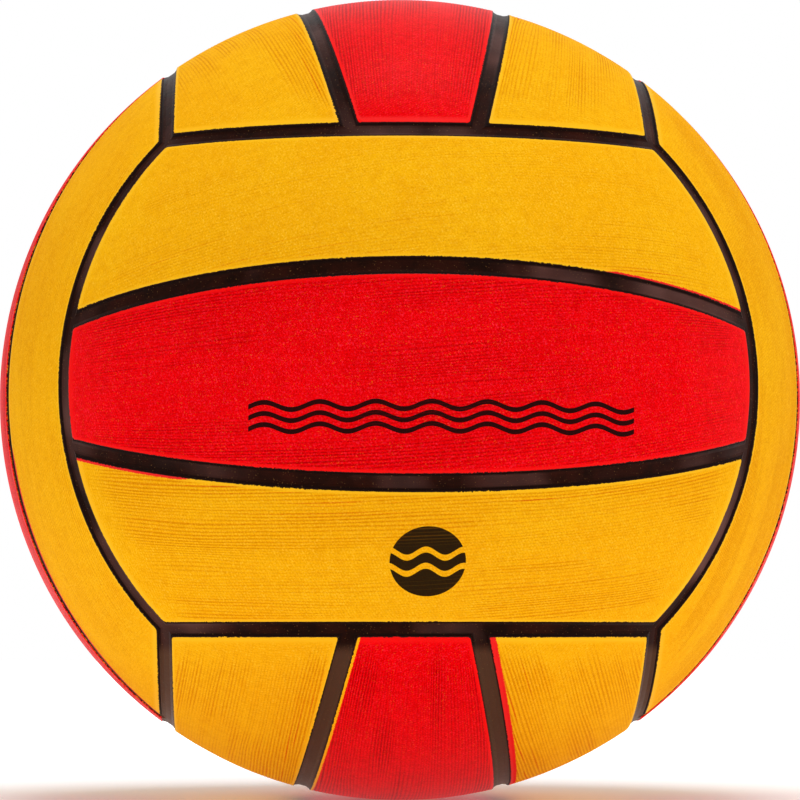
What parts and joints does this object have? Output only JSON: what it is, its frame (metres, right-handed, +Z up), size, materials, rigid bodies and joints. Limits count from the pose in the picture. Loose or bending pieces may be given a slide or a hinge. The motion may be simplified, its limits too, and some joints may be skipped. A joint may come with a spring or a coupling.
{
  "type": "water polo ball",
  "caption": "Inflated water polo ball with red and yellow ribbed grip panels between black hollow channels, and a needle valve at its back.",
  "frame": {"origin": "centre of the ball", "axes": "+Z up, -Y out of the middle panel that shows in the picture, +Y out of the valve; the strips of the front and back faces run along X"},
  "size_m": [0.22, 0.2199, 0.22],
  "materials": {
    "yellow_cover": "moulded ribbed grip, satin",
    "red_cover": "moulded ribbed grip, satin",
    "channel_rubber": "smooth, half gloss",
    "nylon_thread": "wound thread",
    "butyl": "smooth",
    "valve_rubber": "smooth, half gloss"
  },
  "bodies": {
    "root": {"bladder": "butyl", "valve_housing": "valve_rubber", "valve_core": "valve_rubber", "nylon_winding": "nylon_thread", "carcass": "channel_rubber", "front_upper_panel": "yellow_cover", "front_middle_panel": "red_cover", "front_lower_panel": "yellow_cover", "back_upper_panel": "yellow_cover", "back_middle_panel": "red_cover", "back_lower_panel": "yellow_cover", "top_left_panel": "yellow_cover", "top_middle_panel": "red_cover", "top_right_panel": "yellow_cover", "bottom_left_panel": "yellow_cover", "bottom_middle_panel": "red_cover", "bottom_right_panel": "yellow_cover", "left_front_panel": "yellow_cover", "left_middle_panel": "red_cover", "left_back_panel": "yellow_cover", "right_front_panel": "yellow_cover", "right_middle_panel": "red_cover", "right_back_panel": "yellow_cover"}
  },
  "joints": []
}
